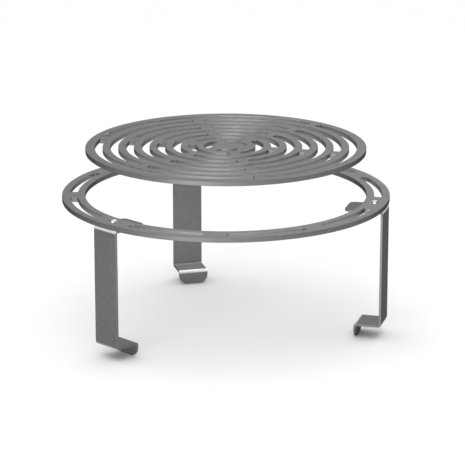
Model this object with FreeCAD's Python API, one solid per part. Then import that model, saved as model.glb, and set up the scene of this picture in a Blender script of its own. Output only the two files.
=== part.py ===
# Low three-legged steel stand for an outdoor gas burner.
# A flat slotted plate lifts out of a slotted ring. Three bent strip legs hang under the ring,
# each held by one screw, and their top flanges reach inwards as tabs that carry the plate.
# Millimetres, +Z up. The origin is on the stand's axis at floor level, with one leg towards +Y.
# The plate is placed above its seat, as it is when it is being lifted out.
import FreeCAD, Part
import math
import os

# Lift-out plate
plate_radius = 180.0
plate_thickness = 6.0
plate_slot_width = 10.0
plate_slot_pitch = 20.0        # from one row of slots to the next
plate_rim = 12.0               # solid band outside the outermost row
plate_bridge = 15.0            # steel left between two slots of a row
least_hub_radius = 15.0        # no row of slots cuts nearer to the centre than this
slot_corner = 2.0              # cut off each corner of a slot, where the real slot has a small radius
shown_lift = 62.0              # how far above its seat the plate is placed

# Support ring
plate_gap = 1.0                # all round the plate, where it drops into the ring
ring_band = 30.0               # from the ring's hole to its outer edge
ring_thickness = 6.0
ring_slot_width = 10.0
ring_bridge = 28.5             # steel left between two slots, along the middle of the band
leg_pad = 57.0                 # steel left without slots over each leg, along the same line
slots_between_legs = 3

# Legs, each one strip of sheet bent three times
leg_count = 3
first_leg_angle = 90.0         # degrees from +X
stand_height = 176.0           # from the floor to the top of the ring
strip_width = 40.0
strip_thickness = 3.0
bend_radius = 1.0              # inside of every bend
leg_set_in = 0.5               # from the ring's outer edge to the leg's outer face
tab_reach = 21.0               # how far the top flange shows inside the ring's hole
foot_depth = 36.0              # from the leg's outer face to the far side of the foot's lip
lip_drop = 16.0                # how far the lip goes down below the foot
strip_end_corner = 8.0         # rounding of the strip's corners at both ends

# Button-head screw, washer and nut on each leg
screw_diameter = 5.0
screw_hole_gap = 0.25          # all round the screw in the ring and the flange
head_diameter = 9.5
head_height = 2.75
head_rim_height = 0.4          # upright edge below the dome
head_flat_diameter = 4.6       # flat top of the dome
socket_width = 3.0             # across the flats
socket_depth = 1.6
washer_diameter = 10.0
washer_thickness = 1.0
washer_gap = 0.15              # all round the screw in the washer
nut_width = 8.0                # across the flats
nut_height = 4.0
thread_play = 0.05             # all round the screw in the nut
screw_past_nut = 2.0
screw_tip_chamfer = 0.6

# Places that follow from the sizes
hole_radius = plate_radius + plate_gap
ring_radius = hole_radius + ring_band
band_middle = hole_radius + ring_band / 2
ring_underside = stand_height - ring_thickness
seat_height = ring_underside                       # tabs lie against the ring's underside
flange_underside = ring_underside - strip_thickness
plate_underside = seat_height + shown_lift
leg_face = ring_radius - leg_set_in
leg_angles = [first_leg_angle + 360.0 / leg_count * i for i in range(leg_count)]
leg_names = ["back", "left", "right"]
screw_radius = screw_diameter / 2
screw_hole_radius = screw_radius + screw_hole_gap

up = FreeCAD.Vector(0, 0, 1)
axis_point = FreeCAD.Vector(0, 0, 0)


def cylinder(radius, height, bottom, x=0.0, y=0.0):
    return Part.makeCylinder(radius, height, FreeCAD.Vector(x, y, bottom), up)


def turned(shape, degrees):
    copy = shape.copy()
    copy.rotate(axis_point, up, degrees)
    return copy


def upright_edges(shape):
    """The edges that run straight up: the corners of a cut-out in sheet."""
    found = []
    for edge in shape.Edges:
        start, end = edge.Vertexes[0].Point, edge.Vertexes[-1].Point
        if math.hypot(start.x - end.x, start.y - end.y) < 1e-6 and abs(start.z - end.z) > 1e-6:
            found.append(edge)
    return found


def row_of_slots(middle_radius, width, bottom, height, bridges):
    """Cutters for one row of arc slots. bridges lists (angle, width) of the steel left between them."""
    outer = cylinder(middle_radius + width / 2, height, bottom)
    cutter = outer.cut(cylinder(middle_radius - width / 2, height, bottom))
    for angle, bridge_width in bridges:
        bar = Part.makeBox(
            middle_radius + width,
            bridge_width,
            height,
            FreeCAD.Vector(0, -bridge_width / 2, bottom),
        )
        cutter = cutter.cut(turned(bar, angle))
    largest_corner = 0.45 * width
    corner = min(slot_corner, largest_corner)
    return [piece.makeChamfer(corner, upright_edges(piece)) for piece in cutter.Solids]


def lift_out_plate():
    """Flat round plate with rows of arc slots, each row's bridges turned half a step from the next."""
    plate = cylinder(plate_radius, plate_thickness, plate_underside)
    outermost = plate_radius - plate_rim - plate_slot_width / 2
    room = outermost - plate_slot_width / 2 - least_hub_radius
    row_count = int(room / plate_slot_pitch) + 1
    step = 360.0 / leg_count
    cutters = []
    for row in range(row_count):
        in_line_with_legs = row % 2 == 1
        first = first_leg_angle if in_line_with_legs else first_leg_angle + step / 2
        bridges = [(first + step * i, plate_bridge) for i in range(leg_count)]
        middle = outermost - plate_slot_pitch * row
        cutters += row_of_slots(middle, plate_slot_width, plate_underside, plate_thickness, bridges)
    print("rows of slots in the plate:", row_count)
    return plate.cut(cutters)


def support_ring():
    """Flat ring with arc slots between the legs and one screw hole over each leg."""
    ring = cylinder(ring_radius, ring_thickness, ring_underside)
    ring = ring.cut(cylinder(hole_radius, ring_thickness, ring_underside))
    sector = 2 * math.pi * band_middle / leg_count
    solid_length = leg_pad + ring_bridge * (slots_between_legs - 1)
    slot_length = (sector - solid_length) / slots_between_legs
    degrees_per_mm = math.degrees(1 / band_middle)
    bridges = []
    for leg_angle in leg_angles:
        bridges.append((leg_angle, leg_pad))
        for i in range(1, slots_between_legs):
            along = leg_pad / 2 + slot_length * i + ring_bridge * (i - 0.5)
            bridges.append((leg_angle + along * degrees_per_mm, ring_bridge))
    cutters = row_of_slots(band_middle, ring_slot_width, ring_underside, ring_thickness, bridges)
    hole = cylinder(screw_hole_radius, ring_thickness, ring_underside, x=band_middle)
    cutters += [turned(hole, angle) for angle in leg_angles]
    print("length of each slot in the ring:", round(slot_length, 1))
    return ring.cut(cutters)


def rounded_path(corners, radius):
    """A wire of straight runs through the corners, each turn rounded to the radius."""
    edges = []
    start = corners[0]
    for before, corner, after in zip(corners, corners[1:], corners[2:]):
        back = (before - corner).normalize()
        ahead = (after - corner).normalize()
        half_turn = (math.pi - back.getAngle(ahead)) / 2
        trim = radius * math.tan(half_turn)
        bisector = (back + ahead).normalize()
        centre = corner + bisector * (radius / math.cos(half_turn))
        arc_start = corner + back * trim
        arc_end = corner + ahead * trim
        edges.append(Part.makeLine(start, arc_start))
        edges.append(Part.Arc(arc_start, centre - bisector * radius, arc_end).toShape())
        start = arc_end
    edges.append(Part.makeLine(start, corners[-1]))
    return Part.Wire(edges)


def leg_strip():
    """One leg along +X: tab and flange, upright, foot and lip, from one bent strip."""
    half = strip_thickness / 2
    tab_tip = hole_radius - tab_reach
    upright = leg_face - half
    flange_middle = flange_underside + half
    foot_middle = lip_drop + half
    lip_middle = leg_face - foot_depth + half
    corners = [
        FreeCAD.Vector(tab_tip, 0, flange_middle),
        FreeCAD.Vector(upright, 0, flange_middle),
        FreeCAD.Vector(upright, 0, foot_middle),
        FreeCAD.Vector(lip_middle, 0, foot_middle),
        FreeCAD.Vector(lip_middle, 0, 0),
    ]
    path = rounded_path(corners, bend_radius + half)
    section = Part.makePolygon([
        FreeCAD.Vector(tab_tip, -strip_width / 2, flange_underside),
        FreeCAD.Vector(tab_tip, strip_width / 2, flange_underside),
        FreeCAD.Vector(tab_tip, strip_width / 2, ring_underside),
        FreeCAD.Vector(tab_tip, -strip_width / 2, ring_underside),
        FreeCAD.Vector(tab_tip, -strip_width / 2, flange_underside),
    ])
    strip = path.makePipeShell([section], True, False)
    end_corners = []
    for edge in strip.Edges:
        box = edge.BoundBox
        at_tab_tip = box.XMax < tab_tip + 0.01 and box.XLength < 0.01 and box.YLength < 0.01
        at_lip_tip = box.ZMax < 0.01 and box.YLength < 0.01
        if at_tab_tip or at_lip_tip:
            end_corners.append(edge)
    strip = strip.makeFillet(strip_end_corner, end_corners)
    return strip.cut(cylinder(screw_hole_radius, strip_thickness, flange_underside, x=band_middle))


def hexagon(width, height, x, bottom):
    """Hexagonal prism, width across its flats."""
    corner_radius = width / 2 / math.cos(math.pi / 6)
    points = []
    for i in range(7):
        angle = math.pi / 3 * i
        px = x + corner_radius * math.cos(angle)
        py = corner_radius * math.sin(angle)
        points.append(FreeCAD.Vector(px, py, bottom))
    return Part.Face(Part.makePolygon(points)).extrude(up * height)


def leg_screw():
    """Button-head screw standing in the ring over the leg on +X, its head on the ring."""
    tip = flange_underside - washer_thickness - nut_height - screw_past_nut
    head_radius = head_diameter / 2
    flat_radius = head_flat_diameter / 2
    rim_top = stand_height + head_rim_height
    head_top = stand_height + head_height

    # the dome is part of a ball on the screw's axis, through the rim and the edge of the flat
    rise = head_height - head_rim_height
    centre = rim_top + (flat_radius ** 2 - head_radius ** 2 + rise ** 2) / (2 * rise)
    ball_radius = math.hypot(head_radius, rim_top - centre)
    rim_tilt = math.atan2(rim_top - centre, head_radius)
    flat_tilt = math.atan2(head_top - centre, flat_radius)
    middle_tilt = (rim_tilt + flat_tilt) / 2
    dome_middle = FreeCAD.Vector(
        ball_radius * math.cos(middle_tilt),
        0,
        centre + ball_radius * math.sin(middle_tilt),
    )

    corners = [
        FreeCAD.Vector(0, 0, head_top),
        FreeCAD.Vector(0, 0, tip),
        FreeCAD.Vector(screw_radius - screw_tip_chamfer, 0, tip),
        FreeCAD.Vector(screw_radius, 0, tip + screw_tip_chamfer),
        FreeCAD.Vector(screw_radius, 0, stand_height),
        FreeCAD.Vector(head_radius, 0, stand_height),
        FreeCAD.Vector(head_radius, 0, rim_top),
    ]
    flat_edge = FreeCAD.Vector(flat_radius, 0, head_top)
    outline = [Part.makeLine(start, end) for start, end in zip(corners, corners[1:])]
    outline.append(Part.Arc(corners[-1], dome_middle, flat_edge).toShape())
    outline.append(Part.makeLine(flat_edge, corners[0]))
    screw = Part.Face(Part.Wire(outline)).revolve(axis_point, up, 360)
    screw = screw.cut(hexagon(socket_width, socket_depth, 0, head_top - socket_depth))
    screw.translate(FreeCAD.Vector(band_middle, 0, 0))
    return screw


def leg_washer():
    bottom = flange_underside - washer_thickness
    washer = cylinder(washer_diameter / 2, washer_thickness, bottom, x=band_middle)
    return washer.cut(cylinder(screw_radius + washer_gap, washer_thickness, bottom, x=band_middle))


def leg_nut():
    bottom = flange_underside - washer_thickness - nut_height
    nut = hexagon(nut_width, nut_height, band_middle, bottom)
    return nut.cut(cylinder(screw_radius + thread_play, nut_height, bottom, x=band_middle))


def save(shape, node):
    if not shape.isValid():
        raise ValueError(node + " is not a valid solid")
    pieces = shape.Solids
    solid = pieces[0] if len(pieces) == 1 else shape
    solid.exportStep("parts/" + node + ".step")
    print(node, "solids:", len(pieces), "volume cm3:", round(shape.Volume / 1000, 2))


os.makedirs("parts", exist_ok=True)
save(lift_out_plate(), "lift_out_plate")
save(support_ring(), "support_ring")
leg = leg_strip()
for side, angle in zip(leg_names, leg_angles):
    save(turned(leg, angle), "leg_" + side)
for fastener, node in [(leg_screw(), "leg_screws"), (leg_washer(), "leg_washers"), (leg_nut(), "leg_nuts")]:
    save(Part.makeCompound([turned(fastener, angle) for angle in leg_angles]), node)
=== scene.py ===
# %% [markdown]
# # A steel burner stand, dressed for its portrait
#
# The stand is flat steel: a slotted plate that lifts out of a slotted ring, and three strips, each bent
# three times, that carry them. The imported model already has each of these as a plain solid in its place.
# The solids could be rounded and painted as they are, but they are loose triangles with cut-off corners.
# So each piece is made afresh at the same size, with its broken edges, bends and threads, and replaces its
# solid.

import math

import bmesh
import bpy
from mathutils import Matrix, Vector


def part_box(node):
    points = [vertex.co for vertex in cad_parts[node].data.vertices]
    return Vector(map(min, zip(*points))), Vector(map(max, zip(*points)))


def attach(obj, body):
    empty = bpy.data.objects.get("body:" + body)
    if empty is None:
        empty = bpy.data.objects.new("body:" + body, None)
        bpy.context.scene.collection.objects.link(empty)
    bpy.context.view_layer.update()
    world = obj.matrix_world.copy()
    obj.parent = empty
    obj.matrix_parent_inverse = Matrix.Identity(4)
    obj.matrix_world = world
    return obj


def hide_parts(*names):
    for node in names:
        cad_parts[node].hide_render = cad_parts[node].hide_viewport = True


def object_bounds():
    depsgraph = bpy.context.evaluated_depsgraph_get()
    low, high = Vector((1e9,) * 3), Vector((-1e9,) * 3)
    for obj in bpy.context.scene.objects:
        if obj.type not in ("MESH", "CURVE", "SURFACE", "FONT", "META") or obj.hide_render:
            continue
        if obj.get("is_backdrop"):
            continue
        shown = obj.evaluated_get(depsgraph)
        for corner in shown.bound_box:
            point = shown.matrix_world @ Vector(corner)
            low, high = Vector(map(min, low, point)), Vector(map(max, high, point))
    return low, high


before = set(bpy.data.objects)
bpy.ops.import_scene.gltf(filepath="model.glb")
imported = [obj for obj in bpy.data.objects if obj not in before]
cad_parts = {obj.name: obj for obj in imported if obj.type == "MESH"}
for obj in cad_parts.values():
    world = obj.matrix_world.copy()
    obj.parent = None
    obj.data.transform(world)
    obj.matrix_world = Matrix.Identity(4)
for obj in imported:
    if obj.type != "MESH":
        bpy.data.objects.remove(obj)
cad_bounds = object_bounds()
print("carried nodes:", sorted(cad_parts))

# %% [markdown]
# ## Sizes
#
# The real stand fits together to a millimetre: the plate drops into the ring's hole and lands on the tabs
# of the legs. Every length could be typed in again here, but a copy goes stale when the model changes. So
# the model's own boxes give the overall sizes, and each step below adds only the sizes of its cuts and
# bends. Blender works in metres here.

# %% Sizes read from the model
mm = 0.001


def rounded(length):
    """A length from the model, to the nearest hundredth of a millimetre."""
    return round(length / mm, 2) * mm


plate_low, plate_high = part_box("lift_out_plate")
plate_radius = rounded(plate_high.x)
plate_thickness = rounded(plate_high.z - plate_low.z)
plate_middle = rounded((plate_high.z + plate_low.z) / 2)

ring_low, ring_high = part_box("support_ring")
ring_radius = rounded(ring_high.x)
ring_thickness = rounded(ring_high.z - ring_low.z)
ring_underside = rounded(ring_low.z)
stand_top = rounded(ring_high.z)
print("plate radius mm:", round(plate_radius / mm, 2), "ring radius mm:", round(ring_radius / mm, 2))

# %% Where the legs stand
leg_angles = {"back": math.radians(90), "left": math.radians(210), "right": math.radians(330)}
leg_step = math.radians(120)
plate_gap = 1 * mm
hole_radius = plate_radius + plate_gap
band_middle = (hole_radius + ring_radius) / 2
print("screws stand from the middle, mm:", round(band_middle / mm, 2))

# %% [markdown]
# ## The cutting table
#
# A laser cuts every part of the stand from flat sheet. The slots could be cut out of a solid with
# booleans, but so many cuts leave ragged slivers round them. So a part starts as it does on the cutting
# table, as closed outlines on a flat blank: circles, and slots drawn as two arcs that are joined at their
# ends and rounded at their corners.

# %% Arcs and circles
arc_sag = 0.03 * mm


def of_kind(items, kind):
    """The vertices, edges or faces among what an operator gives back."""
    return [item for item in items if isinstance(item, kind)]


def arc_steps(radius, sweep):
    """Straight edges that follow an arc closely enough for their corners not to show."""
    return max(2, math.ceil(sweep / (2 * math.acos(1 - arc_sag / radius))))


def circle_outline(bm, radius, x=0.0, y=0.0):
    steps = arc_steps(radius, math.tau)
    place = Matrix.Translation((x, y, 0))
    return bmesh.ops.create_circle(bm, cap_ends=False, segments=steps, radius=radius, matrix=place)["verts"]


def arc_outline(bm, radius, start, end):
    """A row of edges along an arc about the middle. Gives its first and last vertex."""
    place = (radius * math.cos(start), radius * math.sin(start), 0)
    first = bmesh.ops.create_vert(bm, co=place)["vert"][0]
    sweep = end - start
    spun = bmesh.ops.spin(
        bm, geom=[first], cent=(0, 0, 0), axis=(0, 0, 1), angle=sweep, steps=arc_steps(radius, sweep)
    )
    last = of_kind(spun["geom_last"], bmesh.types.BMVert)[0]
    return first, last


print("edges round the plate:", arc_steps(plate_radius, math.tau))

# %% Slots
corner_segments = 5
slot_width = 10 * mm
slot_corner = 2 * mm


def round_corners(bm, corners, radius):
    bmesh.ops.bevel(
        bm,
        geom=corners,
        offset=radius,
        offset_type="OFFSET",
        segments=corner_segments,
        profile=0.5,
        affect="VERTICES",
        clamp_overlap=True,
        material=-1,
    )


def slot_outline(bm, middle, before, bridge_before, after, bridge_after):
    """An arc slot between two bridges, given by their angles and widths. A bridge's sides are parallel."""
    corners = []
    for radius in (middle - slot_width / 2, middle + slot_width / 2):
        start = before + math.asin(bridge_before / 2 / radius)
        end = after - math.asin(bridge_after / 2 / radius)
        corners += arc_outline(bm, radius, start, end)
    inner_start, inner_end, outer_start, outer_end = corners
    bmesh.ops.contextual_create(bm, geom=[inner_start, outer_start])
    bmesh.ops.contextual_create(bm, geom=[inner_end, outer_end])
    round_corners(bm, corners, slot_corner)


print("slot width mm:", round(slot_width / mm, 2), "corner mm:", round(slot_corner / mm, 2))

# %% [markdown]
# ## From an outline to thick sheet
#
# After the laser, a quick pass under a grinding drum breaks the sheet's sharp edges by a few tenths of a
# millimetre. A Bevel modifier could do that, but it can fold over itself in the slots' tight corners. Here
# the outlines are filled, the face is inset by the width of the broken edge, its outline is dropped by as
# much, the wall is pulled down to the middle of the sheet, and the half is mirrored. Each face is marked
# as it is made, so that a wall can have another finish than the sheet it was cut from.

# %% Thick sheet with broken edges
FACE, CUT, SLOT, SLOT_END = 0, 1, 2, 3
sheet_broken_edge = 0.3 * mm
weld_gap = 0.001 * mm


def everything(bm):
    return bm.verts[:] + bm.edges[:] + bm.faces[:]


def thicken(bm, thickness, broken_edge):
    """Fills the outlines and makes them a sheet about the ground plane: flat faces, broken edges, walls."""
    bmesh.ops.triangle_fill(bm, use_beauty=True, use_dissolve=False, edges=bm.edges[:], normal=(0, 0, 1))
    for face in bm.faces:
        face.material_index = FACE
    rim = bmesh.ops.inset_region(
        bm, faces=bm.faces[:], use_boundary=True, use_even_offset=True, thickness=broken_edge, depth=0
    )["faces"]
    bmesh.ops.translate(bm, verts=bm.verts[:], vec=(0, 0, thickness / 2))
    outline = [edge for edge in bm.edges if edge.is_boundary]
    outline_verts = list({vert for edge in outline for vert in edge.verts})
    bmesh.ops.translate(bm, verts=outline_verts, vec=(0, 0, -broken_edge))
    walls = bmesh.ops.extrude_edge_only(bm, edges=outline)["geom"]
    wall_verts = of_kind(walls, bmesh.types.BMVert)
    bmesh.ops.translate(bm, verts=wall_verts, vec=(0, 0, broken_edge - thickness / 2))
    for face in rim + of_kind(walls, bmesh.types.BMFace):
        face.material_index = CUT
    half = everything(bm)
    bmesh.ops.mirror(bm, geom=half, matrix=Matrix.Identity(4), axis="Z", merge_dist=weld_gap)


print("broken edges mm:", round(sheet_broken_edge / mm, 2))

# %% The walls of the slots
long_wall_limit = 0.7


def mark_slots(bm, inner, outer):
    """Marks the cut walls between two radii. The long ones face along the radius, and the rest are ends."""
    # The walls marked here take finishes painted lighter than the rims', as painted light.
    bm.normal_update()
    for face in bm.faces:
        middle = face.calc_center_median()
        middle.z = 0
        if face.material_index == CUT and inner < middle.length < outer:
            along_radius = abs(face.normal.dot(middle.normalized()))
            face.material_index = SLOT if along_radius > long_wall_limit else SLOT_END


print("a long wall faces the middle within degrees:", round(math.degrees(math.acos(long_wall_limit))))

# %% [markdown]
# ## From a mesh to a piece of the stand
#
# Each part is then closed, given its finishes and put on one of the two bodies that move apart, the stand
# or the plate. Shading could be left to a modifier that splits sharp edges, but the mesh can say itself
# which edges are crisp: those that turn by more than a rounded corner's facets do. Its open edges are
# counted, since a part cut from steel has none.

# %% Finished pieces
smooth_below = math.radians(35)


def finished_piece(bm, name, node, body, materials):
    """Closes the mesh, decides which edges stay crisp, and makes it a piece that rides and replaces."""
    bmesh.ops.remove_doubles(bm, verts=bm.verts[:], dist=weld_gap / 2)
    bmesh.ops.recalc_face_normals(bm, faces=bm.faces[:])
    for face in bm.faces:
        face.smooth = True
    for edge in bm.edges:
        edge.smooth = edge.calc_face_angle(0.0) < smooth_below
    open_edges = sum(1 for edge in bm.edges if not edge.is_manifold)
    mesh = bpy.data.meshes.new(name)
    bm.to_mesh(mesh)
    bm.free()
    for material in materials:
        mesh.materials.append(material)
    piece = bpy.data.objects.new(name, mesh)
    bpy.context.scene.collection.objects.link(piece)
    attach(piece, body)
    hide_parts(node)
    print(name, "faces:", len(mesh.polygons), "open edges:", open_edges)
    return piece


# %% [markdown]
# ## Writing shader maths as Python
#
# A finish is a small sum of patterns: clouds plus grain, less some polish. It could be wired by hand, node
# by node, but that hides the sum. So a socket is wrapped in a class whose operators add the Math nodes,
# and one method adds any other node.

# %% Sums of sockets
class Signal:
    """One output socket of a finish. Arithmetic on it adds Math nodes."""

    def __init__(self, finish, socket):
        self.finish = finish
        self.socket = socket

    def maths(self, operation, *values):
        return self.finish.node("ShaderNodeMath", {"operation": operation}, dict(enumerate(values)))

    def __add__(self, other):
        return self.maths("ADD", self, other)

    def __radd__(self, other):
        return self.maths("ADD", other, self)

    def __sub__(self, other):
        return self.maths("SUBTRACT", self, other)

    def __rsub__(self, other):
        return self.maths("SUBTRACT", other, self)

    def __mul__(self, other):
        return self.maths("MULTIPLY", self, other)

    def __rmul__(self, other):
        return self.maths("MULTIPLY", other, self)

    def __abs__(self):
        return self.maths("ABSOLUTE", self)

    def clamped(self):
        return self.maths("MINIMUM", self.maths("MAXIMUM", self, 0.0), 1.0)


# %% A finish under construction
class Finish:
    """A material with its Principled shader ready, and one method for every other kind of node."""

    def __init__(self, name, **constants):
        self.material = bpy.data.materials.new(name)
        self.material.use_nodes = True
        self.tree = self.material.node_tree
        self.shader = self.tree.nodes["Principled BSDF"]
        for socket, value in constants.items():
            self.shader.inputs[socket.replace("_", " ")].default_value = value

    def node(self, kind, settings=None, inputs=None, output=0):
        """Adds a node: its settings first, then the values or links of its sockets."""
        made = self.tree.nodes.new(kind)
        for setting, value in (settings or {}).items():
            setattr(made, setting, value)
        for socket, value in (inputs or {}).items():
            if isinstance(value, Signal):
                self.tree.links.new(value.socket, made.inputs[socket])
            else:
                made.inputs[socket].default_value = value
        return Signal(self, made.outputs[output])

    def feed(self, socket, signal):
        self.tree.links.new(signal.socket, self.shader.inputs[socket])


# %% Patterns that the finishes share
def grey(level):
    return (level, level, level, 1.0)


def object_place(finish, stretch=(1, 1, 1)):
    """The piece's own coordinates, stretched."""
    coordinates = finish.node("ShaderNodeTexCoord", output="Object")
    return finish.node("ShaderNodeMapping", inputs={"Vector": coordinates, "Scale": stretch})


def noise(finish, place, scale, detail=2.0):
    return finish.node("ShaderNodeTexNoise", inputs={"Vector": place, "Scale": scale, "Detail": detail})


def mottle(first, second, first_share, contrast):
    """Two noises in one, with more contrast about the middle."""
    both = first * first_share + second * (1 - first_share)
    return ((both - 0.5) * contrast + 0.5).clamped()


def blend(finish, share, low, high):
    """A colour between two others, by share."""
    return finish.node(
        "ShaderNodeMix", {"data_type": "RGBA"}, {"Factor": share, "A": low, "B": high}, output=2
    )


# %% Relief
relief = 0.6


def bump(finish, height, distance):
    return finish.node(
        "ShaderNodeBump", inputs={"Height": height, "Distance": distance, "Strength": relief}
    )


# %% [markdown]
# ## Mill steel
#
# The plate and the ring are plain steel as it comes from the mill: a satin grey with a faint cloudiness
# and a fine random grain. A photograph of steel would show both, but it repeats, and it has to be laid out
# on every part. Two noises, a coarse and a fine one, never repeat, and need no layout because they read
# the piece's own coordinates. The ring's grey is painted a little lighter than the plate's, as painted
# light for the shade that the plate above casts on the ring.

# %% Mill steel
cloud_scale = 140.0
cloud_detail = 4.0
cloud_share = 0.7
mill_contrast = 2.6
sheet_grain_scale = 900.0
grain_height = 0.04 * mm
mill_specular = 0.3
cloud_roughness = 0.1
grain_roughness = 0.06


def sheet_steel(name, dark, light, metallic, roughness, edge_sheen):
    tint = grey(edge_sheen)
    finish = Finish(name, Metallic=metallic, Specular_IOR_Level=mill_specular, Specular_Tint=tint)
    place = object_place(finish)
    clouds = noise(finish, place, cloud_scale, cloud_detail)
    grain = noise(finish, place, sheet_grain_scale)
    share = mottle(clouds, grain, cloud_share, mill_contrast)
    finish.feed("Base Color", blend(finish, share, grey(dark), grey(light)))
    smoothest = roughness - (cloud_roughness + grain_roughness) / 2
    finish.feed("Roughness", clouds * cloud_roughness + grain * grain_roughness + smoothest)
    finish.feed("Normal", bump(finish, grain, grain_height))
    return finish.material


plate_face = sheet_steel(
    "plate_mill_steel", dark=0.12, light=0.15, metallic=0.6, roughness=0.5, edge_sheen=0.6
)
# Painted light: the ring is the plate's steel painted a little lighter, for the shade that the plate casts
# on it.
ring_face_painted_lighter = sheet_steel(
    "ring_mill_steel_painted_lighter", dark=0.13, light=0.165, metallic=0.5, roughness=0.5, edge_sheen=0.6
)
print("sheet finishes:", plate_face.name, ring_face_painted_lighter.name)

# %% [markdown]
# ## Cut walls
#
# A laser leaves fine upright ripples on the wall that it cuts. They could be modelled, but they are finer
# than the broken edge, so a noise that is stretched upright and fed to the bump is enough. The rims are
# dark. The slots' long walls are painted much lighter, as painted light for the light that the slot's near
# wall shades off them. Their ends, which the low soft boxes reach, are painted lighter too, but less:
# between the two.

# %% Cut walls
ripple_scale = 1400.0
ripple_detail = 1.0
ripple_stretch = (1, 1, 0.06)
ripple_share = 0.5
cut_cloud_scale = 90.0
cut_contrast = 2.0
ripple_height = 0.06 * mm


def cut_steel(name, dark, light, roughness, edge_sheen):
    finish = Finish(name, Metallic=1.0, Specular_Tint=grey(edge_sheen))
    ripples = noise(finish, object_place(finish, ripple_stretch), ripple_scale, ripple_detail)
    clouds = noise(finish, object_place(finish), cut_cloud_scale)
    share = mottle(ripples, clouds, ripple_share, cut_contrast)
    finish.feed("Base Color", blend(finish, share, grey(dark), grey(light)))
    finish.feed("Roughness", clouds * cloud_roughness + (roughness - cloud_roughness / 2))
    finish.feed("Normal", bump(finish, ripples, ripple_height))
    return finish.material


rim_wall = cut_steel("laser_cut_rims", dark=0.14, light=0.17, roughness=0.42, edge_sheen=0.2)
# Painted light: the slots' long walls are painted much lighter than the rims, for the light that the slot
# shades off them, and their ends a little less, since the low soft boxes reach them.
slot_wall_painted_light = cut_steel("laser_cut_slots_painted_light", dark=0.35, light=0.4, roughness=0.4, edge_sheen=0.1)
slot_end_painted_light = cut_steel("laser_cut_slot_ends_painted_light", dark=0.21, light=0.25, roughness=0.4, edge_sheen=0.1)
print("wall finishes:", rim_wall.name, slot_wall_painted_light.name, slot_end_painted_light.name)

# %% [markdown]
# ## The lift-out plate
#
# The plate is the grate that a pan stands on. It has eight rows of arc slots, three bridges in each row,
# and the bridges of one row are turned half a step from those of the next, so that no line of weakness
# crosses it. One row could be drawn and scaled down for the others, but then its slots and bridges would
# shrink with it. So one function draws each slot between its two bridges, and two loops repeat it.

# %% Lift-out plate
slot_rows = 8
slot_pitch = 20 * mm
plate_rim = 12 * mm
plate_bridge = 15 * mm
bridges_in_a_row = len(leg_angles)


def slotted_plate():
    bm = bmesh.new()
    circle_outline(bm, plate_radius)
    outermost = plate_radius - plate_rim - slot_width / 2
    for row in range(slot_rows):
        in_line_with_legs = row % 2 == 1
        first = leg_angles["back"] if in_line_with_legs else leg_angles["back"] + leg_step / 2
        middle = outermost - slot_pitch * row
        for bridge in range(bridges_in_a_row):
            before = first + leg_step * bridge
            slot_outline(bm, middle, before, plate_bridge, before + leg_step, plate_bridge)
    thicken(bm, plate_thickness, sheet_broken_edge)
    mark_slots(bm, 0, plate_radius - plate_rim / 2)
    bmesh.ops.translate(bm, verts=bm.verts[:], vec=(0, 0, plate_middle))
    finishes = [plate_face, rim_wall, slot_wall_painted_light, slot_end_painted_light]
    return finished_piece(bm, "slotted_plate", "lift_out_plate", "plate", finishes)


slotted_plate()

# %% [markdown]
# ## The support ring
#
# The ring ties the three legs together and holds the plate in its hole, with a millimetre of room all
# round. It could be drawn as a third of a ring and turned into place twice, but that leaves three seams to
# close. Drawn whole, it has none: three slots between each pair of legs, and a wide pad over every leg for
# its screw.

# %% Where the ring's bridges are
ring_bridge = 28.5 * mm
leg_pad = 57 * mm
slots_between_legs = 3


def ring_bridges(leg_angle):
    """Angle and width of each bridge, from one leg's pad to the next leg's."""
    slot_turn = (leg_step - (leg_pad + 2 * ring_bridge) / band_middle) / slots_between_legs
    bridges = [(leg_angle, leg_pad)]
    for i in range(1, slots_between_legs):
        along = leg_pad / 2 / band_middle + slot_turn * i + ring_bridge * (i - 0.5) / band_middle
        bridges.append((leg_angle + along, ring_bridge))
    bridges.append((leg_angle + leg_step, leg_pad))
    return bridges


back_bridges = [round(math.degrees(angle), 1) for angle, width in ring_bridges(leg_angles["back"])]
print("bridges from the back leg on, degrees:", back_bridges)

# %% Support ring
screw_hole_radius = 2.75 * mm


def slotted_ring():
    bm = bmesh.new()
    circle_outline(bm, ring_radius)
    circle_outline(bm, hole_radius)
    for leg_angle in leg_angles.values():
        hole_x = band_middle * math.cos(leg_angle)
        hole_y = band_middle * math.sin(leg_angle)
        circle_outline(bm, screw_hole_radius, hole_x, hole_y)
        bridges = ring_bridges(leg_angle)
        for (before, bridge_before), (after, bridge_after) in zip(bridges, bridges[1:]):
            slot_outline(bm, band_middle, before, bridge_before, after, bridge_after)
    thicken(bm, ring_thickness, sheet_broken_edge)
    mark_slots(bm, band_middle - slot_width, band_middle + slot_width)
    bmesh.ops.translate(bm, verts=bm.verts[:], vec=(0, 0, ring_underside + ring_thickness / 2))
    finishes = [ring_face_painted_lighter, rim_wall, slot_wall_painted_light, slot_end_painted_light]
    return finished_piece(bm, "slotted_ring", "support_ring", "stand", finishes)


slotted_ring()

# %% [markdown]
# ## The legs, bent on a press brake
#
# A leg is a flat strip with rounded ends and one hole, bent three times: down from the flange under the
# ring, in to the foot and down again to the lip that stands on the floor. It could be swept along a bent
# path, but the rounded ends and the hole would then have to be cut out of a bent shape. A real press brake
# works on the finished flat blank, and so does this: cut lines are laid across each bend, and everything
# past a line is turned a few degrees about it, line after line, from the far end back.

# %% Sizes of a leg
strip_width = 40 * mm
strip_thickness = 3 * mm
tab_corner = 8 * mm
lip_corner = 12 * mm
tab_reach = 21 * mm
leg_set_in = 0.5 * mm
foot_depth = 36 * mm
lip_drop = 16 * mm

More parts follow.
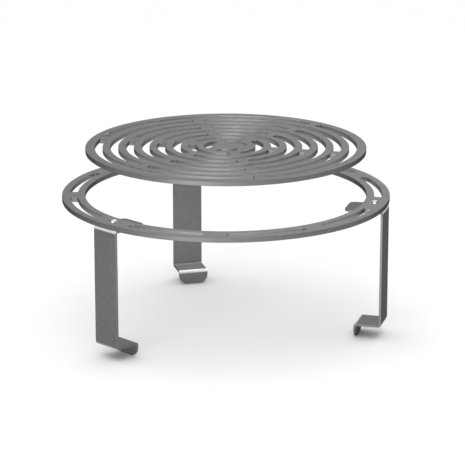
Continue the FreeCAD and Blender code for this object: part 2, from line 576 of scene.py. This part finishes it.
tab_tip = hole_radius - tab_reach
upright = ring_radius - leg_set_in - strip_thickness / 2
flange_middle = ring_underside - strip_thickness / 2
foot_middle = lip_drop + strip_thickness / 2
lip_middle = upright - foot_depth + strip_thickness
print("upright from the middle mm:", round(upright / mm, 2), "tab's tip mm:", round(tab_tip / mm, 2))

# %% Lengths on the flat strip
quarter_turn = math.radians(90)
neutral_radius = 2.5 * mm
bend_lines = 8
turn_per_line = quarter_turn / bend_lines
bend_length = 2 * neutral_radius * math.tan(turn_per_line / 2) * bend_lines

flange_run = upright - tab_tip - neutral_radius
upright_run = flange_middle - foot_middle - 2 * neutral_radius
foot_run = upright - lip_middle - 2 * neutral_radius
lip_run = foot_middle - neutral_radius
bend_starts = [
    flange_run,
    flange_run + bend_length + upright_run,
    flange_run + bend_length + upright_run + bend_length + foot_run,
]
blank_length = flange_run + upright_run + foot_run + lip_run + 3 * bend_length
print("leg blank length mm:", round(blank_length / mm, 2))

# %% [markdown]
# ## The finish of a leg
#
# The strip is the same mill steel, and the brake's die has polished it where it was pressed, which makes it
# smoother there. The bands also carry a painted highlight: their colour goes nearly white and less
# metallic, with a strength of its own at each bend. The bright bands could be painted at fixed heights, but
# each would need its own plane. In the strip's flat coordinates, kept from before the bending, all three
# are bands at a length, so one formula makes them.

# %% Polish and painted highlight of the bends
# How strongly each bend is polished and painted with a highlight: the flange's, the foot's, the lip's.
bend_polish_and_highlight = (1.0, 0.2, 0.85)
polish_and_highlight_half_width = 1.9 * mm
polish_and_highlight_fade = 0.8 * mm


def polish_and_painted_highlight(finish, strip):
    """Up to 1 where the die pressed each bend hardest, 0 on the flats: polish, and a painted highlight."""
    along = finish.node("ShaderNodeSeparateXYZ", inputs={"Vector": strip})
    polish_and_highlight = 0.0
    for start, strength in zip(bend_starts, bend_polish_and_highlight):
        inside = polish_and_highlight_half_width - abs(along - (start + bend_length / 2))
        polish_and_highlight = (inside * (1 / polish_and_highlight_fade)).clamped() * strength + polish_and_highlight
    return polish_and_highlight


band_middles = [round((start + bend_length / 2) / mm, 1) for start in bend_starts]
print("polished bands along the strip, mm:", band_middles)

# %% Bent steel
strip_grain_scale = 1200.0
flat_metallic = 0.85
polished_metallic = 0.5


def bent_steel(name, dark, light, roughness, edge_sheen, painted_bend_highlight, bend_roughness):
    """Mill steel in the strip's own flat coordinates, polished at the bends and painted nearly white there
    as a painted highlight.
    """
    finish = Finish(name, Specular_IOR_Level=mill_specular, Specular_Tint=grey(edge_sheen))
    strip = finish.node("ShaderNodeUVMap", {"uv_map": "strip"})
    polish_and_highlight = polish_and_painted_highlight(finish, strip)
    clouds = noise(finish, strip, cloud_scale, cloud_detail)
    grain = noise(finish, strip, strip_grain_scale)
    share = mottle(clouds, grain, cloud_share, mill_contrast)
    flat_colour = blend(finish, share, grey(dark), grey(light))
    # Painted highlight: across the bends the colour goes nearly white, and the metal less metallic.
    finish.feed("Base Color", blend(finish, polish_and_highlight, flat_colour, grey(painted_bend_highlight)))
    finish.feed("Metallic", flat_metallic - polish_and_highlight * (flat_metallic - polished_metallic))
    cloudy = clouds * cloud_roughness * (1 - polish_and_highlight) + (roughness - cloud_roughness / 2)
    finish.feed("Roughness", cloudy - polish_and_highlight * (roughness - bend_roughness))
    finish.feed("Normal", bump(finish, grain * (1 - polish_and_highlight), grain_height))
    return finish.material


leg_face = bent_steel(
    "leg_mill_steel",
    dark=0.14,
    light=0.175,
    roughness=0.5,
    edge_sheen=0.2,
    painted_bend_highlight=0.95,
    bend_roughness=0.3,
)
leg_wall = cut_steel("laser_cut_legs", dark=0.17, light=0.2, roughness=0.4, edge_sheen=0.2)
print("leg finishes:", leg_face.name, leg_wall.name)

# %% [markdown]
# ## Blank and bends
#
# The blank is a rectangle with two small and two large rounded corners and a screw hole. Its flat
# coordinates go into the UV map before the first bend, as a scribed scale on the real strip would stay on
# it. The bends run from the lip back to the flange, because whatever lies past a line moves with it.

# %% Blank of a leg
def leg_blank(bm):
    """The flat strip along +X from the tab's tip, its hole included."""
    size = Matrix.Diagonal((blank_length, strip_width, 1, 1))
    square = Matrix.Rotation(math.radians(45), 4, "Z")
    place = Matrix.Translation((blank_length / 2, 0, 0)) @ size @ square
    corners = bmesh.ops.create_circle(
        bm, cap_ends=False, segments=4, radius=math.sqrt(0.5), matrix=place
    )["verts"]
    tab_end = [vert for vert in corners if vert.co.x < blank_length / 2]
    lip_end = [vert for vert in corners if vert.co.x > blank_length / 2]
    round_corners(bm, tab_end, tab_corner)
    round_corners(bm, lip_end, lip_corner)
    circle_outline(bm, screw_hole_radius, x=band_middle - tab_tip)
    thicken(bm, strip_thickness, sheet_broken_edge)
    strip = bm.loops.layers.uv.new("strip")
    for face in bm.faces:
        for loop in face.loops:
            loop[strip].uv = loop.vert.co.xy


print("screw hole from the tab's tip mm:", round((band_middle - tab_tip) / mm, 2))

# %% Bending
def press_brake(bm, bends):
    """Bends the flat strip. bends lists where each bend starts along the strip, and its angle."""
    lines = []
    for start, angle in bends:
        for i in range(bend_lines):
            lines.append((start + bend_length * (i + 0.5) / bend_lines, angle / bend_lines))
    for along, _ in lines:
        bmesh.ops.bisect_plane(bm, geom=everything(bm), plane_co=(along, 0, 0), plane_no=(1, 0, 0))
    flat_place = {vert: vert.co.x for vert in bm.verts}
    for along, turn in reversed(lines):
        beyond = [vert for vert in bm.verts if flat_place[vert] > along + weld_gap]
        fold = Matrix.Rotation(turn, 3, "Y")
        bmesh.ops.rotate(bm, verts=beyond, cent=(along, 0, 0), matrix=fold)


print("degrees in each step of a bend:", math.degrees(turn_per_line))

# %% Three bent legs
def set_at_leg(bm, angle, reach, height=0.0):
    """Moves a part out from the middle along +X, and then turns it round to a leg's place."""
    place = Matrix.Rotation(angle, 4, "Z") @ Matrix.Translation((reach, 0, height))
    bmesh.ops.transform(bm, matrix=place, verts=bm.verts[:])


def bent_leg(side, angle):
    bm = bmesh.new()
    leg_blank(bm)
    press_brake(bm, zip(bend_starts, (quarter_turn, quarter_turn, -quarter_turn)))
    set_at_leg(bm, angle, tab_tip, flange_middle)
    finishes = [leg_face, leg_wall]
    return finished_piece(bm, "bent_leg_" + side, "leg_" + side, "stand", finishes)


for side, angle in leg_angles.items():
    leg = bent_leg(side, angle)
    low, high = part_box("leg_" + side)
    heights = [vert.co.z for vert in leg.data.vertices]
    print("  from", round(min(heights) / mm, 2), "to", round(max(heights) / mm, 2), "mm high")
    print("  model from", round(low.z / mm, 2), "to", round(high.z / mm, 2), "mm high")

# %% [markdown]
# ## Zinc plating
#
# The screws, washers and nuts are plated with bright zinc. It could be an even, polished metal, but then
# the small heads would look like plastic. Plating is a little uneven, so one noise varies both its
# brightness and its polish.

# %% Bright zinc
zinc_cloud_scale = 500.0
zinc_dark = 0.62
zinc_light = 0.78
zinc_smoothest = 0.3
zinc_roughness_spread = 0.12


def zinc_plating():
    finish = Finish("bright_zinc", Metallic=1.0)
    clouds = noise(finish, object_place(finish), zinc_cloud_scale)
    finish.feed("Base Color", blend(finish, clouds, grey(zinc_dark), grey(zinc_light)))
    finish.feed("Roughness", clouds * zinc_roughness_spread + zinc_smoothest)
    return finish.material


zinc = zinc_plating()
print("plating:", zinc.name)

# %% [markdown]
# ## A small lathe
#
# Screws and nuts are round about an axis, like work on a lathe. They could be put together from cylinders
# and cones, but then each join would be a seam to close. Half of the section, drawn as one chain of edges
# and spun a full turn about the axis, gives the whole shape in one skin.

# %% Lathe
def outline_chain(bm, points):
    """Edges from point to point, in the plane of a lathe's profile."""
    verts = [bmesh.ops.create_vert(bm, co=(radius, 0, height))["vert"][0] for radius, height in points]
    for start, end in zip(verts, verts[1:]):
        bmesh.ops.contextual_create(bm, geom=[start, end])
    return verts


def turn_on_lathe(bm, steps):
    profile = bm.verts[:] + bm.edges[:]
    bmesh.ops.spin(
        bm, geom=profile, cent=(0, 0, 0), axis=(0, 0, 1), angle=math.tau, steps=steps, use_merge=True
    )
    bmesh.ops.remove_doubles(bm, verts=bm.verts[:], dist=weld_gap)


# %% [markdown]
# ## Button-head screws
#
# A button head is a low dome with a thin rim, a flat on top and a hexagon socket for the key. The thread
# could be a helix that is swept and joined to the shank, but such joins seldom close. Here the shank is
# turned with many rings, and a formula moves each vertex in or out by a wave that climbs one pitch in a
# turn. The socket is a six-sided outline inside the head's flat: the surface between the two is filled,
# and the outline is pushed down and closed.

# %% Heights in a screwed joint
washer_thickness = 1 * mm
nut_height = 4 * mm
screw_past_nut = 2 * mm
washer_top = ring_underside - strip_thickness
nut_top = washer_top - washer_thickness
screw_tip = nut_top - nut_height - screw_past_nut
print("screw's tip mm:", round(screw_tip / mm, 2), "ring's top mm:", round(stand_top / mm, 2))

# %% Sizes of a screw
screw_radius = 2.5 * mm
tip_chamfer = 0.6 * mm
thread_low = screw_tip + tip_chamfer
thread_high = washer_top
thread_pitch = 0.8 * mm
rings_per_turn = 8
head_radius = 4.75 * mm
head_rim = 0.4 * mm
head_flat = 2.3 * mm
head_height = 2.75 * mm
head_top = stand_top + head_height
dome_steps = 6
print("threaded length mm:", round((thread_high - thread_low) / mm, 2))

# %% Profile of a screw
def shank_and_rim(bm):
    """The profile from the tip's axis up to the edge under the dome."""
    ring_count = round((thread_high - thread_low) / thread_pitch * rings_per_turn)
    ring_step = (thread_high - thread_low) / ring_count
    threaded = [(screw_radius, thread_low + ring_step * i) for i in range(ring_count + 1)]
    tip = [(0, screw_tip), (screw_radius - tip_chamfer, screw_tip)]
    rim = [(screw_radius, stand_top), (head_radius, stand_top), (head_radius, stand_top + head_rim)]
    outline_chain(bm, tip + threaded + rim)


def dome(bm):
    """An arc from the rim to the head's flat, about a centre on the axis."""
    rim_top = stand_top + head_rim
    rise = head_top - rim_top
    centre = rim_top + (head_flat ** 2 - head_radius ** 2 + rise ** 2) / (2 * rise)
    rim_tilt = math.atan2(rim_top - centre, head_radius)
    flat_tilt = math.atan2(head_top - centre, head_flat)
    start = bmesh.ops.create_vert(bm, co=(head_radius, 0, rim_top))["vert"][0]
    sweep = flat_tilt - rim_tilt
    bmesh.ops.spin(bm, geom=[start], cent=(0, 0, centre), axis=(0, -1, 0), angle=sweep, steps=dome_steps)
    bmesh.ops.remove_doubles(bm, verts=bm.verts[:], dist=weld_gap)
    print("  dome radius mm:", round((head_top - centre) / mm, 2))


# %% Thread and socket
thread_depth = 0.45 * mm
thread_margin = 0.01 * mm
socket_half_width = 1.5 * mm
socket_corner = socket_half_width / math.cos(math.radians(30))
socket_depth = 1.6 * mm


def cut_thread(bm, low, high):
    """Moves the shank's rings in by a triangle wave that climbs one pitch in each turn."""
    for vert in bm.verts:
        x, y, z = vert.co
        radius = math.hypot(x, y)
        if low < z < high and radius > screw_radius - weld_gap:
            phase = (z / thread_pitch - math.atan2(y, x) / math.tau) % 1
            depth = thread_depth * abs(2 * phase - 1)
            vert.co.x = x * (radius - depth) / radius
            vert.co.y = y * (radius - depth) / radius


def sink_socket(bm):
    """Fills the head's flat round a hexagon and sinks the hexagon into the head."""
    place = Matrix.Translation((0, 0, head_top))
    bmesh.ops.create_circle(bm, cap_ends=False, segments=6, radius=socket_corner, matrix=place)
    on_the_flat = [edge for edge in bm.edges if all(vert.co.z > head_top - weld_gap for vert in edge.verts)]
    bmesh.ops.triangle_fill(bm, use_beauty=True, use_dissolve=False, edges=on_the_flat, normal=(0, 0, 1))
    hexagon = [edge for edge in bm.edges if edge.is_boundary]
    pushed = bmesh.ops.extrude_edge_only(bm, edges=hexagon)["geom"]
    floor_verts = of_kind(pushed, bmesh.types.BMVert)
    bmesh.ops.translate(bm, verts=floor_verts, vec=(0, 0, -socket_depth))
    bmesh.ops.edgeloop_fill(bm, edges=[edge for edge in bm.edges if edge.is_boundary])


print("turns of thread:", round((thread_high - thread_low) / thread_pitch, 1))

# %% Three button-head screws
screw_steps = 36


def button_screw(side, angle):
    bm = bmesh.new()
    shank_and_rim(bm)
    dome(bm)
    turn_on_lathe(bm, screw_steps)
    cut_thread(bm, thread_low + thread_margin, thread_high - thread_margin)
    sink_socket(bm)
    set_at_leg(bm, angle, band_middle)
    return finished_piece(bm, "button_screw_" + side, "leg_screws", "stand", [zinc])


for side, angle in leg_angles.items():
    button_screw(side, angle)

# %% [markdown]
# ## Washers
#
# A washer spreads the nut's pull over the leg's flange. It could be turned on the lathe, but a real one is
# punched from sheet, so the cutting table makes it too: two circles, thickened, with finer broken edges.

# %% Three flat washers
washer_radius = 5 * mm
washer_bore = 2.65 * mm
washer_broken_edge = 0.1 * mm


def flat_washer(side, angle):
    bm = bmesh.new()
    circle_outline(bm, washer_radius)
    circle_outline(bm, washer_bore)
    thicken(bm, washer_thickness, washer_broken_edge)
    set_at_leg(bm, angle, band_middle, washer_top - washer_thickness / 2)
    return finished_piece(bm, "flat_washer_" + side, "leg_washers", "stand", [zinc, zinc])


for side, angle in leg_angles.items():
    flat_washer(side, angle)

# %% [markdown]
# ## Nuts
#
# The nuts hold the legs to the ring from below. A six-sided prism with a bevel would look like a nut from
# afar, but its corners would be cut straight. A real nut gets its chamfers on a lathe, which leaves a
# curve at both ends of each flat. A round blank with its chamfers already turned, and six cuts for the
# flats, give the same curves here.

# %% Blank of a nut
nut_half_width = 4 * mm
nut_corner = nut_half_width / math.cos(math.radians(30))
nut_chamfer_reach = 0.9 * mm
nut_chamfer_drop = 0.5 * mm
nut_bore = 2.55 * mm
nut_steps = 48


def nut_blank(bm):
    low, high = nut_top - nut_height, nut_top
    corners = outline_chain(bm, [
        (nut_bore, low),
        (nut_corner - nut_chamfer_reach, low),
        (nut_corner, low + nut_chamfer_drop),
        (nut_corner, high - nut_chamfer_drop),
        (nut_corner - nut_chamfer_reach, high),
        (nut_bore, high),
    ])
    bmesh.ops.contextual_create(bm, geom=[corners[-1], corners[0]])
    turn_on_lathe(bm, nut_steps)
    print("  nut blank faces:", len(bm.faces))


# %% Three hexagon nuts
nut_flats = 6
degrees_per_flat = 360 / nut_flats


def hexagon_nut(side, angle):
    bm = bmesh.new()
    nut_blank(bm)
    for i in range(nut_flats):
        turn = math.radians(degrees_per_flat * (i + 0.5))
        outwards = Vector((math.cos(turn), math.sin(turn), 0))
        edge_of_flat = outwards * nut_half_width
        cut = bmesh.ops.bisect_plane(
            bm, geom=everything(bm), plane_co=edge_of_flat, plane_no=outwards, clear_outer=True
        )["geom_cut"]
        bmesh.ops.edgeloop_fill(bm, edges=of_kind(cut, bmesh.types.BMEdge))
    set_at_leg(bm, angle, band_middle)
    return finished_piece(bm, "hexagon_nut_" + side, "leg_nuts", "stand", [zinc])


for side, angle in leg_angles.items():
    hexagon_nut(side, angle)

# %% [markdown]
# ## Floor and world
#
# The stand is shown on a white floor. A flat one would do from above, but a low view would show where it
# ends. So it is a round floor that reaches fifteen metres out, where it curves up like a roll of backdrop
# paper, and the lathe turns it as well. The world is nearly dark, because light from all round would wash
# out the difference between the walls, which is what tells cut steel from flat steel.

# %% Floor
floor_reach = 15.0
cove_radius = 2.7
cove_steps = 16
floor_steps = 96
last_flat_stretch = 0.5
paper_white = 0.93
paper_roughness = 0.9


def studio_floor():
    """A round white floor whose far edge curves up, so that no horizon shows in a low view."""
    bm = bmesh.new()
    edge = outline_chain(bm, [(0, 0), (floor_reach - last_flat_stretch, 0), (floor_reach, 0)])[-1]
    centre = (floor_reach, 0, cove_radius)
    bmesh.ops.spin(bm, geom=[edge], cent=centre, axis=(0, -1, 0), angle=quarter_turn, steps=cove_steps)
    bmesh.ops.remove_doubles(bm, verts=bm.verts[:], dist=weld_gap)
    turn_on_lathe(bm, floor_steps)
    for face in bm.faces:
        face.smooth = True
    mesh = bpy.data.meshes.new("studio_floor")
    bm.to_mesh(mesh)
    bm.free()
    colour = grey(paper_white)
    paper = Finish("pale_floor", Base_Color=colour, Roughness=paper_roughness, Specular_IOR_Level=0.0)
    mesh.materials.append(paper.material)
    floor = bpy.data.objects.new("studio_floor", mesh)
    bpy.context.scene.collection.objects.link(floor)
    floor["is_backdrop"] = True
    print("floor faces:", len(mesh.polygons), "reach m:", floor_reach + cove_radius)
    return floor


floor = studio_floor()

# %% World
world_level = 0.02


def studio_world():
    world = bpy.data.worlds.new("studio")
    world.use_nodes = True
    world.node_tree.nodes["Background"].inputs["Color"].default_value = grey(world_level)
    bpy.context.scene.world = world
    print("world level:", world_level)


studio_world()

# %% [markdown]
# ## Lamps
#
# Plain soft light comes from a white ceiling and large soft boxes. One dome could light all, but then the
# plate would leave the floor under it grey. So the ceiling is three very wide suns. One lights the floor
# past the whole stand. One lights the floor past the legs alone, which keeps the shadows at the feet dark
# and small. One lights the stand and casts no shadow, as light that a real white room sends back from
# every side would. Fills without shadows reach down into the slots, where a box in front can't.

# %% Hanging a lamp
stand_middle = Vector((0, 0, 0.12))


def towards(azimuth, elevation):
    """A direction from the stand: degrees round from +X, and degrees up."""
    turn = math.radians(azimuth)
    up = math.radians(elevation)
    return Vector((math.cos(turn) * math.cos(up), math.sin(turn) * math.cos(up), math.sin(up)))


def add_lamp(name, lamp, direction, distance):
    """Hangs a lamp out of the camera's sight, turned to the stand."""
    thing = bpy.data.objects.new(name, lamp)
    bpy.context.scene.collection.objects.link(thing)
    thing.location = stand_middle + direction * distance
    thing.rotation_euler = direction.to_track_quat("Z", "Y").to_euler()
    thing.visible_camera = False
    print("lamp:", name, "energy:", round(lamp.energy, 2))
    return thing


# %% Soft boxes and ceilings
ceiling_azimuth = 75
ceiling_elevation = 80
ceiling_distance = 3.0


def softbox(name, azimuth, elevation, distance, width, height, power):
    lamp = bpy.data.lights.new(name, "AREA")
    lamp.shape = "RECTANGLE"
    lamp.size = width
    lamp.size_y = height
    lamp.energy = power
    return add_lamp(name, lamp, towards(azimuth, elevation), distance)


def ceiling(name, strength, spread):
    """A very wide and soft light from overhead. Spread is how much of the sky it fills, in degrees."""
    lamp = bpy.data.lights.new(name, "SUN")
    lamp.angle = math.radians(spread)
    lamp.energy = strength
    return add_lamp(name, lamp, towards(ceiling_azimuth, ceiling_elevation), ceiling_distance)


# %% What a lamp lights, and what casts shadows in it
def flag_floor(lamp, state):
    """Lights the floor alone, or with EXCLUDE everything but the floor."""
    flag = bpy.data.collections.new(lamp.name + "_flag")
    flag.objects.link(floor)
    lamp.light_linking.receiver_collection = flag
    flag.collection_objects[0].light_linking.link_state = state


def only_legs_cast(lamp):
    """Lets the legs alone cast shadows in this lamp's light."""
    casters = bpy.data.collections.new(lamp.name + "_casters")
    for side in leg_angles:
        casters.objects.link(bpy.data.objects["bent_leg_" + side])
    lamp.light_linking.blocker_collection = casters


def make_fill(lamp):
    """A fill casts no shadow, keeps off the floor, and isn't sought by rays that the stand could block."""
    lamp.data.use_shadow = False
    lamp.data.cycles.use_multiple_importance_sampling = False
    flag_floor(lamp, "EXCLUDE")


# %% The ceiling
over_floor = ceiling("ceiling_over_floor", strength=1.7, spread=120)
flag_floor(over_floor, "INCLUDE")
over_feet = ceiling("ceiling_over_feet", strength=1.5, spread=80)
flag_floor(over_feet, "INCLUDE")
only_legs_cast(over_feet)
over_stand = ceiling("ceiling_over_stand", strength=1.6, spread=80)
make_fill(over_stand)

# %% The soft boxes
softbox("front_above", azimuth=-105, elevation=42, distance=3.0, width=1.8, height=1.8, power=12)
accent = softbox("left_accent", azimuth=-133, elevation=22, distance=2.8, width=1.2, height=0.9, power=11)
make_fill(accent)
softbox("key_low", azimuth=-133, elevation=6, distance=2.6, width=1.0, height=0.5, power=24)
softbox("front_low", azimuth=-87, elevation=6, distance=2.6, width=2.6, height=0.5, power=9)
glow = softbox("slot_glow", azimuth=-116, elevation=8, distance=2.6, width=1.8, height=0.5, power=14)
make_fill(glow)
behind = softbox("behind", azimuth=62, elevation=32, distance=3.0, width=2.4, height=1.0, power=35)
make_fill(behind)

# %% [markdown]
# ## Camera
#
# The portrait is taken from three metres away and a little above, with a long lens that keeps the stand's
# near side from looming. The camera could be placed by eye, but the plate's and the ring's circles show as
# clear ellipses in the photograph, and their shapes give its height, its distance and its lens.

# %% Camera
camera_azimuth = -105.0
camera_elevation = 16.144
camera_distance = 3.0244
camera_target = Vector((0.00821, -0.0022, 0.12194))
sensor_width = 36
lens_for_full_width = 180.62


def portrait_camera():
    camera = bpy.data.cameras.new("portrait")
    camera.lens = lens_for_full_width
    camera.sensor_width = sensor_width
    thing = bpy.data.objects.new("portrait", camera)
    bpy.context.scene.collection.objects.link(thing)
    thing.location = camera_target + towards(camera_azimuth, camera_elevation) * camera_distance
    thing.rotation_euler = (thing.location - camera_target).to_track_quat("Z", "Y").to_euler()
    bpy.context.scene.camera = thing
    print("camera at:", [round(value, 3) for value in thing.location])


portrait_camera()
bpy.context.scene.view_settings.view_transform = "Standard"

# %% [markdown]
# ## Check the sizes
#
# Last, the dressed stand is measured against the model that it was made from. The two boxes could be
# compared by eye in the viewport, but numbers show a tenth of a millimetre.

# %% Compare the sizes
for corner, model_corner, dressed_corner in zip(("lowest", "highest"), cad_bounds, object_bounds()):
    off = [round((dressed - model) / mm, 2) for dressed, model in zip(dressed_corner, model_corner)]
    print(corner, "corner is off the model's by mm:", off)
